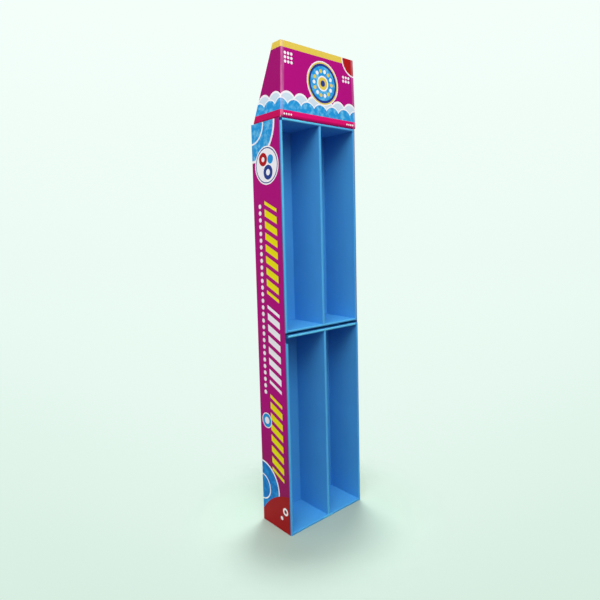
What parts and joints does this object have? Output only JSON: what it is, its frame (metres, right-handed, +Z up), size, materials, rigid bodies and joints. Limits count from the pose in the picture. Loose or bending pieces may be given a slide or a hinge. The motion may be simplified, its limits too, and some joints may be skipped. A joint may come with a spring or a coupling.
{
  "type": "cardboard display stand",
  "caption": "Tall narrow corrugated cardboard display stand with open divided trays stacked in a printed outer sleeve and a folded printed header on top",
  "frame": {"origin": "bottom centre of the stand's bounding box, on the floor that it stands on", "axes": "+Z up, +X to the right as seen from the front, the open front faces -Y"},
  "size_m": [0.305, 0.139, 1.427],
  "materials": {
    "sleeve_print": "thin corrugated board printed magenta outside, matt",
    "tray_board": "corrugated board printed plain blue on both faces, matt",
    "divider_board": "corrugated board printed plain blue on both faces, matt",
    "header_print": "corrugated board printed magenta with a yellow edge outside, matt"
  },
  "bodies": {
    "root": {"outer_sleeve": "sleeve_print", "lower_tray": "tray_board", "upper_tray": "tray_board", "lower_divider": "divider_board", "upper_divider": "divider_board", "header": "header_print"}
  },
  "joints": []
}
